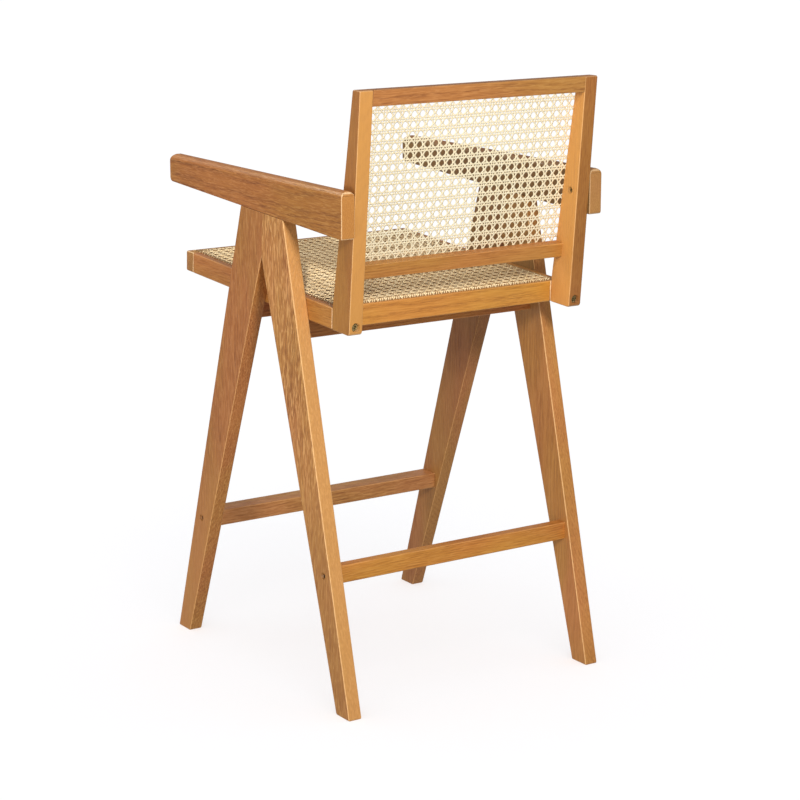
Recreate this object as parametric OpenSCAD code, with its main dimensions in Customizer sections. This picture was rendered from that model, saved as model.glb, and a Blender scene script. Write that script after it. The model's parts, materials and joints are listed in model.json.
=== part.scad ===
// Bar stool with open V-leg side frames, a caned seat that tips back, a raked caned
// back between two stiles, a front footrest and a rear stretcher.
// Frame: +Z is up, the sitter faces -Y and the sitter's left is +X.
// The origin is on the floor under the middle of the stool.

/* [Overall] */
// Width over the two side frames
overall_w = 500; // [470:5:530]
// Depth over the front feet and the top of the back
overall_d = 573; // [565:1:581]
// Height of the top of the back
overall_h = 998; // [985:1:1010]
// Thickness of the boards that the legs, arms, stiles and seat frame are cut from
stock_t = 24.5; // [23:0.5:26]

/* [Side frames] */
// Back edge of the rear feet, from the middle of the stool
rear_foot_y = 285; // [278:1:286]
// Length of each foot on the floor, front to back
foot_w = 39.5; // [34:0.5:44]
// Height of the crotch where the two legs of a side frame part
crotch_z = 711; // [704:1:718]
// Distance of the crotch behind the middle of the stool
crotch_y = 26; // [22:1:30]
// Front edge of the front leg where it meets the armrest
leg_top_front_y = -39; // [-44:1:-34]
// Back edge of the rear leg where it meets the armrest
leg_top_rear_y = 95; // [90:1:99]
// Glue line between the two legs where it meets the armrest
seam_top_y = 33; // [30:1:37]

/* [Armrests] */
// Height of the flat top of the armrest
arm_top_z = 846; // [842:1:850]
// Front end of the armrest
arm_front_y = -282; // [-286:1:-276]
// Rear end of the armrest, level with the back of the stile
arm_rear_y = 271; // [268:1:273]
// Depth of the armrest at its front end
arm_front_h = 47; // [43:1:51]
// Depth of the armrest at its rear end
arm_rear_h = 75; // [71:1:79]
// Radius along both top edges of the armrest
arm_crown_r = 10.5; // [7:0.5:11]

/* [Seat] */
// Front edge of the seat frame
seat_front_y = -274.5; // [-279:0.5:-270]
// Height of the front top edge of the seat frame
seat_front_z = 677.5; // [674:0.5:681]
// Length of the seat frame along its slope
seat_len = 478; // [474:1:481]
// Backward slope of the seat in degrees
seat_tilt = 2.8; // [2.4:0.1:3.2]
// Depth of the seat rails and cross rails
rail_h = 35; // [32:1:36]
// Bare wood between the side of the seat frame and its cane groove
seat_side_margin = 13.5; // [12.5:0.5:14]
// Bare wood between the front of the seat frame and its cane groove
seat_front_margin = 11; // [9:0.5:12]
// Wood between the back of the seat frame and its cane groove
seat_rear_margin = 5; // [4:0.5:6]

/* [Back] */
// Backward lean of the front face of the back in degrees
back_rake = 10.2; // [9.9:0.1:10.4]
// Depth of a stile at its foot
stile_foot_d = 50.5; // [48:0.5:53]
// Height of the top rail of the back
top_rail_h = 25.5; // [24:0.5:28]
// Height of the lower rail of the back, measured along the rake
lower_rail_h = 23.5; // [23:0.5:26]
// Thickness of the lower rail of the back
lower_rail_t = 18.5; // [18:0.5:20]
// Gap between the seat and the lower rail, measured along the rake
lower_rail_gap = 48; // [44:1:52]

/* [Footrest and stretcher] */
// Height of the top of the footrest
footrest_z = 234.5; // [230:0.5:240]
// Width of the footrest, front to back
footrest_w = 41; // [38:1:44]
// Thickness of the footrest
footrest_t = 27; // [26:1:30]
// Height of the top of the rear stretcher
stretcher_z = 237.5; // [234:0.5:241]
// Thickness of the rear stretcher, front to back
stretcher_t = 20; // [18:1:22]
// Depth of the rear stretcher, top to bottom
stretcher_h = 29.5; // [28:0.5:31]

/* [Cane] */
// Thickness of the woven cane sheet
cane_t = 2; // [1.5:0.5:2.5]
// Width of the groove that holds the edge of the cane
groove_w = 5; // [4.5:0.5:5]
// Depth of the groove
groove_d = 6; // [5:0.5:6.5]

/* [Fastenings] */
// Diameter of the frame dowels
dowel_d = 8; // [7:0.5:8]
// Diameter of the small dowels in the rails of the back and in the stretcher
small_dowel_d = 6; // [5:0.5:6]
// Diameter of the bolt shanks
bolt_d = 6; // [5:0.5:6]
// Diameter of the counterbores in the stiles
stile_counterbore_d = 15; // [14:0.5:16]
// Diameter of the counterbores in the legs
leg_counterbore_d = 12; // [11.5:0.5:13]

/* [Hidden] */
$fn = 48;

wood = "peru";
reed = "blanchedalmond";
dowel_wood = "burlywood";
metal = "darkgoldenrod";
eps = 1;

// Planes that the pieces share
frame_out = overall_w / 2;
frame_in = frame_out - stock_t;
stile_in = frame_in - stock_t;
frame_mid = frame_out - stock_t / 2;
stile_mid = frame_in - stock_t / 2;
front_foot_y = -overall_d / 2;
back_top_y = overall_d / 2;

// Lines of the side frame, seen from the side
function lerp(a, b, t) = a + (b - a) * t;
function arm_bottom(y) =
    arm_top_z - lerp(arm_front_h, arm_rear_h, (y - arm_front_y) / (arm_rear_y - arm_front_y));
function front_leg_mid(z) = lerp(front_foot_y + foot_w / 2,
    (leg_top_front_y + crotch_y) / 2, z / arm_bottom(leg_top_front_y));
function rear_leg_mid(z) = lerp(rear_foot_y - foot_w / 2,
    (leg_top_rear_y + crotch_y) / 2, z / arm_bottom(leg_top_rear_y));
function seam_y(z) =
    lerp(crotch_y, seam_top_y, (z - crotch_z) / (arm_bottom(seam_top_y) - crotch_z));

// A point of the tipped seat frame, given along its slope and above its top
function seat_point(along, up) = [
    seat_front_y + along * cos(seat_tilt) + up * sin(seat_tilt),
    seat_front_z - along * sin(seat_tilt) + up * cos(seat_tilt)
];
seat_heel = seat_point(seat_len, 0);

// The back, seen from the side
back_front_top_y = seat_heel[0] + (overall_h - seat_heel[1]) * tan(back_rake);
stile_foot = seat_point(seat_len + stile_foot_d, -rail_h);
function back_front_y(z) = seat_heel[0] + (z - seat_heel[1]) * tan(back_rake);
function back_rear_y(z) = lerp(stile_foot[0], back_top_y,
    (z - stile_foot[1]) / (overall_h - stile_foot[1]));
top_rail_z = overall_h - top_rail_h;
top_rail_mid_z = overall_h - top_rail_h / 2;
opening_bottom = lower_rail_gap + lower_rail_h;
opening_top = (top_rail_z - seat_heel[1]) / cos(back_rake);

// Cane grooves: the outer edge of each groove loop
back_groove_inset = 7;
seat_loop_w = 2 * (frame_in - seat_side_margin);
seat_loop_l = seat_len - seat_front_margin - seat_rear_margin;
back_loop_w = 2 * (stile_in + back_groove_inset + groove_w);
back_loop_l = opening_top - opening_bottom + 2 * (back_groove_inset + groove_w);
back_loop_z = opening_bottom - back_groove_inset - groove_w;
spline_play = 0.2;
spline_proud = 0.8;

// The panel under the seat's cane: its thickness, depth under the cane and tongue in the rails
panel_t = 4;
panel_drop = 7;
panel_tongue = 4;
panel_play = 0.1;

// Corner radii, in the order of each outline's corners
arm_corner_r = [8, 4, 7, 13];
stile_corner_r = [0, 6, 3, 3, 0];

// Fastenings
dowel_play = 0.1;
dowel_l = 36;
short_dowel_l = 30;
dowel_half_gap = 12;
stretcher_dowel_half_gap = 9.5;
front_corner_dowel_up = [-14, -26];
rear_corner_dowel_up = -12;
rear_corner_dowel_setback = 9;
top_rail_dowel_setback = 11;
seam_dowel_z = [728, 750];
arm_dowel_y = [-22, 6, 62, 83];
bolt_play = 0.5;
bore_spare = 2;
mouth_spare = 6;
head_h = 4;
head_play = 2;
recess_w = 6;
recess_t = 1.6;
recess_d = 2;
leg_bolt_seat = 8;
stile_bolt_seat = 9;
nut_d = 10;
nut_l = 14;
nut_setback = 40;
stile_nut_setback = 50;
leg_bolt_l = stock_t - leg_bolt_seat + nut_setback + nut_d;
stile_bolt_up = -22;
stile_nut_along = seat_len - stile_nut_setback;
stile_bolt_head = seat_len + stile_foot_d;
stile_bolt_l = stile_bolt_head - stile_bolt_seat - stile_nut_along + nut_d;
arm_bolt_z = 811;
arm_bolt_y = (back_front_y(arm_bolt_z) + back_rear_y(arm_bolt_z)) / 2;
arm_bolt_seat = 8;
insert_d = 9;
insert_l = 14;
arm_bolt_l = stock_t - arm_bolt_seat + insert_l;
screw_d = 4.5;
screw_head_d = 9;
screw_head_h = 3;
screw_bite = 12;
screw_l = stock_t + screw_bite;
seat_screw_y = [-40, 88];
front_cross_along = 223;
rear_cross_along = 379;
footrest_mid_z = footrest_z - footrest_t / 2;
footrest_mid_y = front_leg_mid(footrest_mid_z);
stretcher_setback = 3;
stretcher_mid_z = stretcher_z - stretcher_h / 2;
stretcher_mid_y = rear_leg_mid(stretcher_mid_z) + stretcher_setback;

// Corner p between points a and b, rounded to radius r
function unit(v) = v / norm(v);
function round_corner(a, p, b, r, steps = 8) =
    r == 0 ? [p] :
    let (
        u = unit(a - p),
        v = unit(b - p),
        half = acos(u * v) / 2,
        centre = p + unit(u + v) * r / sin(half),
        from = p + u * r / tan(half) - centre,
        to = p + v * r / tan(half) - centre,
        sweep = 180 - 2 * half
    )
    [for (i = [0:steps])
        centre + (from * sin(sweep * (1 - i / steps)) + to * sin(sweep * i / steps)) / sin(sweep)];

// Outline with each corner rounded to its own radius
function rounded(points, radii) = [
    for (i = [0:len(points) - 1])
        each round_corner(points[(i + len(points) - 1) % len(points)], points[i],
            points[(i + 1) % len(points)], radii[i])
];

// An outline in Y and Z, given thickness along X from x
module board(x, t) {
    translate([x, 0, 0]) rotate([90, 0, 90]) linear_extrude(t) children();
}

module in_seat_frame() {
    translate([0, seat_front_y, seat_front_z]) rotate([-seat_tilt, 0, 0]) children();
}

// Frame of the back: Y into the wood from the front face, Z up the rake
module in_back_frame() {
    translate([0, seat_heel[0], seat_heel[1]]) rotate([-back_rake, 0, 0]) children();
}

module mirror_x() {
    mirror([1, 0, 0]) children();
}

// Placings, each with Z along the axis of the fastening

module at_seam_dowels() {
    for (side = [-1, 1], z = seam_dowel_z)
        translate([side * frame_mid, seam_y(z), z]) rotate([90, 0, 0]) children();
}

module at_armrest_dowels() {
    for (side = [-1, 1], y = arm_dowel_y)
        translate([side * frame_mid, y, arm_bottom(y)]) children();
}

module at_footrest_dowels() {
    for (side = [-1, 1], step = [-1, 1])
        translate([side * frame_in, footrest_mid_y + step * dowel_half_gap, footrest_mid_z])
            rotate([0, 90, 0]) children();
}

module at_stretcher_dowels() {
    for (side = [-1, 1], step = [-1, 1])
        translate([side * frame_in, stretcher_mid_y, stretcher_mid_z + step * stretcher_dowel_half_gap])
            rotate([0, 90, 0]) children();
}

module at_cross_rail_dowels() {
    in_seat_frame()
        for (side = [-1, 1], along = [front_cross_along, rear_cross_along], step = [-1, 1])
            translate([side * frame_in, along, -1.5 * rail_h + step * dowel_d])
                rotate([0, 90, 0]) children();
}

module at_seat_frame_dowels() {
    in_seat_frame() for (side = [-1, 1]) {
        for (up = front_corner_dowel_up)
            translate([side * stile_mid, stock_t, up]) rotate([90, 0, 0]) children();
        translate([side * stile_in, seat_len - rear_corner_dowel_setback, rear_corner_dowel_up])
            rotate([0, 90, 0]) children();
    }
}

module at_back_rail_dowels() {
    for (side = [-1, 1], step = [-1, 1]) {
        translate([side * stile_in, back_rear_y(top_rail_mid_z) - top_rail_dowel_setback,
            top_rail_mid_z + step * small_dowel_d]) rotate([0, 90, 0]) children();
        in_back_frame()
            translate([side * stile_in, lower_rail_t - small_dowel_d,
                lower_rail_gap + lower_rail_h / 2 + step * small_dowel_d])
                rotate([0, 90, 0]) children();
    }
}

// Bolts sit with their head's side at Z = 0 and their shank along -Z

module at_leg_bolts(y, z) {
    for (side = [-1, 1])
        translate([side * frame_out, y, z]) rotate([0, side * 90, 0]) children();
}

module at_stile_bolts() {
    in_seat_frame() for (side = [-1, 1])
        translate([side * stile_mid, stile_bolt_head, stile_bolt_up]) rotate([-90, 0, 0]) children();
}

module at_arm_bolts() {
    for (side = [-1, 1])
        translate([side * stile_in, arm_bolt_y, arm_bolt_z]) rotate([0, -side * 90, 0]) children();
}

module at_seat_screws() {
    for (side = [-1, 1], y = seat_screw_y)
        translate([side * stile_in, y,
            seat_front_z - (y - seat_front_y) * tan(seat_tilt) - rail_h / 2])
            rotate([0, -side * 90, 0]) children();
}

// The barrel nuts' bores open in the underside of the footrest and the stretcher

module at_footrest_nuts() {
    for (side = [-1, 1])
        translate([side * (frame_in - nut_setback), footrest_mid_y, footrest_z - footrest_t])
            children();
}

module at_stretcher_nuts() {
    for (side = [-1, 1])
        translate([side * (frame_in - nut_setback), stretcher_mid_y, stretcher_z - stretcher_h])
            children();
}

// These open in the inner face of the side rails
module at_stile_nuts() {
    in_seat_frame() for (side = [-1, 1])
        translate([side * (stile_mid - stock_t / 4), stile_nut_along, stile_bolt_up])
            rotate([0, 90, 0]) children();
}

// Fastenings and the bores that take them

module dowel(d, l) {
    cylinder(d = d, h = l, center = true);
}

module dowel_bore(d, l) {
    cylinder(d = d + dowel_play, h = l + bore_spare, center = true);
}

module cross_recess() {
    for (turn = [0, 90])
        rotate([0, 0, turn]) cube([recess_w, recess_t, 2 * recess_d], center = true);
}

module bolt(seat, l, head_d) {
    translate([0, 0, -seat]) difference() {
        cylinder(d = head_d, h = head_h);
        translate([0, 0, head_h]) cross_recess();
    }
    translate([0, 0, -seat - l]) cylinder(d = bolt_d, h = l);
}

module bolt_bore(seat, l, mouth_d) {
    translate([0, 0, -seat]) cylinder(d = mouth_d, h = seat + mouth_spare);
    translate([0, 0, -seat - l - bore_spare])
        cylinder(d = bolt_d + bolt_play, h = l + bore_spare + eps);
}

// A barrel nut stands across the bolt that threads into it
module barrel_nut(turn) {
    difference() {
        cylinder(d = nut_d, h = nut_l, center = true);
        rotate(turn) cylinder(d = bolt_d + dowel_play, h = 2 * nut_d, center = true);
    }
}

module countersunk_screw() {
    translate([0, 0, -screw_head_h])
        cylinder(d1 = screw_d, d2 = screw_head_d, h = screw_head_h);
    translate([0, 0, -screw_l]) cylinder(d = screw_d, h = screw_l - screw_head_h);
}

module seat_screw_bores() {
    at_seat_screws() {
        translate([0, 0, -screw_head_h])
            cylinder(d1 = screw_d + dowel_play, d2 = screw_head_d + dowel_play, h = screw_head_h);
        translate([0, 0, -screw_l - bore_spare])
            cylinder(d = screw_d + dowel_play, h = screw_l + bore_spare);
    }
}

// Square ring in X and Y, groove_w wide, centred on X = 0 and starting at Y = 0
module groove_ring(w, l) {
    difference() {
        translate([-w / 2, 0, -groove_d]) cube([w, l, groove_d + eps]);
        translate([groove_w - w / 2, groove_w, -groove_d - eps])
            cube([w - 2 * groove_w, l - 2 * groove_w, groove_d + 3 * eps]);
    }
}

// The four spline strips that lie in such a ring
module spline_strips(w, l) {
    strip_w = groove_w - 2 * spline_play;
    strip_h = groove_d + spline_proud - spline_play;
    for (side = [-1, 1])
        translate([side * (w - groove_w) / 2 - strip_w / 2, spline_play, spline_proud - strip_h])
            cube([strip_w, l - 2 * spline_play, strip_h]);
    for (y = [spline_play, l - groove_w + spline_play])
        translate([groove_w - w / 2, y, spline_proud - strip_h])
            cube([w - 2 * groove_w, strip_w, strip_h]);
}

module seat_groove() {
    in_seat_frame() translate([0, seat_front_margin, 0]) groove_ring(seat_loop_w, seat_loop_l);
}

// Lays a ring's plane on the front face of the back
module on_back_face() {
    in_back_frame() translate([0, 0, back_loop_z]) rotate([90, 0, 0]) children();
}

module back_groove() {
    on_back_face() groove_ring(back_loop_w, back_loop_l);
}

// Bores that the side frames share
module side_frame_bores() {
    at_seam_dowels() dowel_bore(dowel_d, dowel_l);
    at_armrest_dowels() dowel_bore(dowel_d, dowel_l);
    at_footrest_dowels() dowel_bore(dowel_d, short_dowel_l);
    at_stretcher_dowels() dowel_bore(small_dowel_d, short_dowel_l);
    at_cross_rail_dowels() dowel_bore(dowel_d, short_dowel_l);
    at_leg_bolts(footrest_mid_y, footrest_mid_z)
        bolt_bore(leg_bolt_seat, leg_bolt_l, leg_counterbore_d);
    at_leg_bolts(stretcher_mid_y, stretcher_mid_z)
        bolt_bore(leg_bolt_seat, leg_bolt_l, leg_counterbore_d);
    seat_screw_bores();
}

module front_leg() {
    color(wood) difference() {
        board(frame_in, stock_t) polygon([
            [front_foot_y, 0],
            [front_foot_y + foot_w, 0],
            [crotch_y, crotch_z],
            [seam_top_y, arm_bottom(seam_top_y)],
            [leg_top_front_y, arm_bottom(leg_top_front_y)]
        ]);
        side_frame_bores();
    }
}

module rear_leg() {
    color(wood) difference() {
        board(frame_in, stock_t) polygon([
            [rear_foot_y, 0],
            [leg_top_rear_y, arm_bottom(leg_top_rear_y)],
            [seam_top_y, arm_bottom(seam_top_y)],
            [crotch_y, crotch_z],
            [rear_foot_y - foot_w, 0]
        ]);
        side_frame_bores();
    }
}

module armrest() {
    outline = rounded([
        [arm_front_y, arm_top_z - arm_front_h],
        [arm_rear_y, arm_top_z - arm_rear_h],
        [arm_rear_y, arm_top_z],
        [arm_front_y, arm_top_z]
    ], arm_corner_r);
    section = rounded([
        [frame_in, arm_top_z - 2 * arm_rear_h],
        [frame_out, arm_top_z - 2 * arm_rear_h],
        [frame_out, arm_top_z],
        [frame_in, arm_top_z]
    ], [0, 0, arm_crown_r, arm_crown_r]);
    color(wood) difference() {
        intersection() {
            board(frame_in - eps, stock_t + 2 * eps) polygon(outline);
            rotate([90, 0, 0]) linear_extrude(overall_d, center = true) polygon(section);
        }
        at_armrest_dowels() dowel_bore(dowel_d, dowel_l);
        at_arm_bolts() translate([0, 0, -stock_t - insert_l])
            cylinder(d = insert_d + dowel_play, h = insert_l + eps);
    }
}

module front_footrest() {
    color(wood) difference() {
        translate([-frame_in, footrest_mid_y - footrest_w / 2, footrest_z - footrest_t])
            cube([2 * frame_in, footrest_w, footrest_t]);
        side_frame_bores();
        at_footrest_nuts() cylinder(d = nut_d + dowel_play, h = footrest_t + nut_l, center = true);
    }
}

module rear_stretcher() {
    color(wood) difference() {
        translate([-frame_in, stretcher_mid_y - stretcher_t / 2, stretcher_z - stretcher_h])
            cube([2 * frame_in, stretcher_t, stretcher_h]);
        side_frame_bores();
        at_stretcher_nuts() cylinder(d = nut_d + dowel_play, h = stretcher_h + nut_l, center = true);
    }
}

module cross_rail(along) {
    color(wood) difference() {
        in_seat_frame() translate([-frame_in, along - stock_t / 2, -2 * rail_h])
            cube([2 * frame_in, stock_t, rail_h]);
        at_cross_rail_dowels() dowel_bore(dowel_d, short_dowel_l);
    }
}

// The panel's outline grown by play, which also cuts its groove in the rails
module support_panel(play) {
    in_seat_frame() translate([-stile_in - panel_tongue - play,
        stock_t - panel_tongue - play, -panel_drop - panel_t - play])
        cube([2 * (stile_in + panel_tongue + play),
            seat_len - 2 * (stock_t - panel_tongue - play), panel_t + 2 * play]);
}

// A rail across the seat frame that reaches half_w to each side
module seat_end_rail(along, half_w) {
    color(wood) difference() {
        in_seat_frame() translate([-half_w, along, -rail_h])
            cube([2 * half_w, stock_t, rail_h]);
        seat_groove();
        support_panel(panel_play);
        at_seat_frame_dowels() dowel_bore(dowel_d, short_dowel_l);
    }
}

// The front rail covers the ends of the side rails, which run on to the stiles
module seat_side_rail() {
    color(wood) difference() {
        in_seat_frame() translate([stile_in, stock_t, -rail_h])
            cube([stock_t, seat_len - stock_t, rail_h]);
        seat_groove();
        support_panel(panel_play);
        at_seat_frame_dowels() dowel_bore(dowel_d, short_dowel_l);
        at_stile_bolts() bolt_bore(stile_bolt_seat, stile_bolt_l, stile_counterbore_d);
        at_stile_nuts() cylinder(d = nut_d + dowel_play, h = nut_l + stock_t / 2, center = true);
        seat_screw_bores();
    }
}

module back_stile() {
    outline = rounded([
        seat_point(seat_len, -rail_h),
        stile_foot,
        [back_top_y, overall_h],
        [back_front_top_y, overall_h],
        seat_heel
    ], stile_corner_r);
    color(wood) difference() {
        board(stile_in, stock_t) polygon(outline);
        back_groove();
        at_back_rail_dowels() dowel_bore(small_dowel_d, short_dowel_l);
        at_stile_bolts() bolt_bore(stile_bolt_seat, stile_bolt_l, stile_counterbore_d);
        at_arm_bolts() bolt_bore(arm_bolt_seat, arm_bolt_l, leg_counterbore_d);
    }
}

module back_top_rail() {
    color(wood) difference() {
        board(-stile_in, 2 * stile_in) polygon([
            [back_front_y(top_rail_z), top_rail_z],
            [back_rear_y(top_rail_z), top_rail_z],
            [back_rear_y(overall_h), overall_h],
            [back_front_y(overall_h), overall_h]
        ]);
        back_groove();
        at_back_rail_dowels() dowel_bore(small_dowel_d, short_dowel_l);
    }
}

module back_lower_rail() {
    color(wood) difference() {
        in_back_frame() translate([-stile_in, 0, lower_rail_gap])
            cube([2 * stile_in, lower_rail_t, lower_rail_h]);
        back_groove();
        at_back_rail_dowels() dowel_bore(small_dowel_d, short_dowel_l);
    }
}

module seat_support_panel() {
    color(dowel_wood) support_panel(0);
}

module seat_cane() {
    color(reed) in_seat_frame()
        translate([groove_w - seat_loop_w / 2, seat_front_margin + groove_w, 0])
            cube([seat_loop_w - 2 * groove_w, seat_loop_l - 2 * groove_w, cane_t]);
}

module back_cane() {
    color(reed) on_back_face() translate([groove_w - back_loop_w / 2, groove_w, 0])
        cube([back_loop_w - 2 * groove_w, back_loop_l - 2 * groove_w, cane_t]);
}

module seat_splines() {
    color(reed) in_seat_frame() translate([0, seat_front_margin, 0])
        spline_strips(seat_loop_w, seat_loop_l);
}

module back_splines() {
    color(reed) on_back_face() spline_strips(back_loop_w, back_loop_l);
}

module leg_joint_dowels() {
    color(dowel_wood) at_seam_dowels() dowel(dowel_d, dowel_l);
}

module armrest_dowels() {
    color(dowel_wood) at_armrest_dowels() dowel(dowel_d, dowel_l);
}

module footrest_dowels() {
    color(dowel_wood) at_footrest_dowels() dowel(dowel_d, short_dowel_l);
}

module stretcher_dowels() {
    color(dowel_wood) at_stretcher_dowels() dowel(small_dowel_d, short_dowel_l);
}

module cross_rail_dowels() {
    color(dowel_wood) at_cross_rail_dowels() dowel(dowel_d, short_dowel_l);
}

module seat_frame_dowels() {
    color(dowel_wood) at_seat_frame_dowels() dowel(dowel_d, short_dowel_l);
}

module back_rail_dowels() {
    color(dowel_wood) at_back_rail_dowels() dowel(small_dowel_d, short_dowel_l);
}

module footrest_bolts() {
    color(metal) at_leg_bolts(footrest_mid_y, footrest_mid_z)
        bolt(leg_bolt_seat, leg_bolt_l, leg_counterbore_d - head_play);
}

module stretcher_bolts() {
    color(metal) at_leg_bolts(stretcher_mid_y, stretcher_mid_z)
        bolt(leg_bolt_seat, leg_bolt_l, leg_counterbore_d - head_play);
}

module stile_bolts() {
    color(metal) at_stile_bolts() bolt(stile_bolt_seat, stile_bolt_l, stile_counterbore_d - head_play);
}

module arm_bolts() {
    color(metal) at_arm_bolts() bolt(arm_bolt_seat, arm_bolt_l, leg_counterbore_d - head_play);
}

module footrest_barrel_nuts() {
    color(metal) at_footrest_nuts() translate([0, 0, footrest_t / 2]) barrel_nut([0, 90, 0]);
}

module stretcher_barrel_nuts() {
    color(metal) at_stretcher_nuts() translate([0, 0, stretcher_h / 2]) barrel_nut([0, 90, 0]);
}

module stile_barrel_nuts() {
    color(metal) in_seat_frame() for (side = [-1, 1])
        translate([side * stile_mid, stile_nut_along, stile_bolt_up])
            rotate([0, 90, 0]) barrel_nut([90, 0, 0]);
}

module arm_threaded_inserts() {
    color(metal) at_arm_bolts() translate([0, 0, -stock_t - insert_l]) difference() {
        cylinder(d = insert_d, h = insert_l);
        translate([0, 0, -eps]) cylinder(d = bolt_d + dowel_play, h = insert_l + 2 * eps);
    }
}

module seat_screws() {
    color(metal) at_seat_screws() countersunk_screw();
}

module left_front_leg() { front_leg(); }
module left_rear_leg() { rear_leg(); }
module right_front_leg() { mirror_x() front_leg(); }
module right_rear_leg() { mirror_x() rear_leg(); }
module left_armrest() { armrest(); }
module right_armrest() { mirror_x() armrest(); }
module front_cross_rail() { cross_rail(front_cross_along); }
module rear_cross_rail() { cross_rail(rear_cross_along); }
module seat_front_rail() { seat_end_rail(0, frame_in); }
module seat_rear_rail() { seat_end_rail(seat_len - stock_t, stile_in); }
module seat_left_rail() { seat_side_rail(); }
module seat_right_rail() { mirror_x() seat_side_rail(); }
module left_back_stile() { back_stile(); }
module right_back_stile() { mirror_x() back_stile(); }

left_front_leg();
left_rear_leg();
right_front_leg();
right_rear_leg();
left_armrest();
right_armrest();
leg_joint_dowels();
armrest_dowels();
front_footrest();
footrest_dowels();
footrest_bolts();
footrest_barrel_nuts();
rear_stretcher();
stretcher_dowels();
stretcher_bolts();
stretcher_barrel_nuts();
front_cross_rail();
rear_cross_rail();
cross_rail_dowels();
seat_front_rail();
seat_rear_rail();
seat_left_rail();
seat_right_rail();
seat_frame_dowels();
seat_screws();
seat_support_panel();
seat_cane();
seat_splines();
left_back_stile();
right_back_stile();
back_top_rail();
back_lower_rail();
back_rail_dowels();
back_cane();
back_splines();
stile_bolts();
stile_barrel_nuts();
arm_bolts();
arm_threaded_inserts();
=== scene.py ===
import json
import math

import bpy
import numpy as np
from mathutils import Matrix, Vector

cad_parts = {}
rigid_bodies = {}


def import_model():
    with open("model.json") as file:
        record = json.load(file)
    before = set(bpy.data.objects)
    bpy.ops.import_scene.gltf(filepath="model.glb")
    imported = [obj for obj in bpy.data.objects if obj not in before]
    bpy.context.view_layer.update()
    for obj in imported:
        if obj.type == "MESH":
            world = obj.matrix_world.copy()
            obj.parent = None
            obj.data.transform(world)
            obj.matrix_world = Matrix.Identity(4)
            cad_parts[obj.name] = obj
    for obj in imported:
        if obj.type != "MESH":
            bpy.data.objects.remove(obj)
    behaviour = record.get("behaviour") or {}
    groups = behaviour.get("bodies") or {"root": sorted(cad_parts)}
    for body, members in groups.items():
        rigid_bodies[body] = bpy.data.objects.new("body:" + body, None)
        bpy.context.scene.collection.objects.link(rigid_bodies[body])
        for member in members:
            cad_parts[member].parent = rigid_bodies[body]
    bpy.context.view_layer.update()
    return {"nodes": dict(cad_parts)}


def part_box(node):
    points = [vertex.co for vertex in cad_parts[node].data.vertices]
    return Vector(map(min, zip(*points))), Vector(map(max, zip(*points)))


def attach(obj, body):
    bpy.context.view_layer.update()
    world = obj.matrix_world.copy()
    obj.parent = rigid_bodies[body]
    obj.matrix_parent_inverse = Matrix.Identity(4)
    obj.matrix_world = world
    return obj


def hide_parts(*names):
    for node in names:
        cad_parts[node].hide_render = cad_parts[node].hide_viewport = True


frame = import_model()
NODES = frame["nodes"]
MM = 0.001
scene = bpy.context.scene
X_AXIS, Y_AXIS, Z_AXIS = Vector((1, 0, 0)), Vector((0, 1, 0)), Vector((0, 0, 1))

# ------------------------------------------------------------------ camera

CAMERA_AT = Vector((2.0740, 3.1981, 1.3432))
CAMERA_LOOKS = Vector((-0.5356, -0.8122, -0.2313))
LENS = 103.44

cam_data = bpy.data.cameras.new("camera")
cam_data.lens = LENS
cam_data.sensor_width = 36
cam_data.clip_end = 100
cam = bpy.data.objects.new("camera", cam_data)
cam.location = CAMERA_AT
cam.rotation_euler = CAMERA_LOOKS.to_track_quat("-Z", "Y").to_euler()
scene.collection.objects.link(cam)
scene.camera = cam

# ------------------------------------------------------------------ shader helpers


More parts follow.
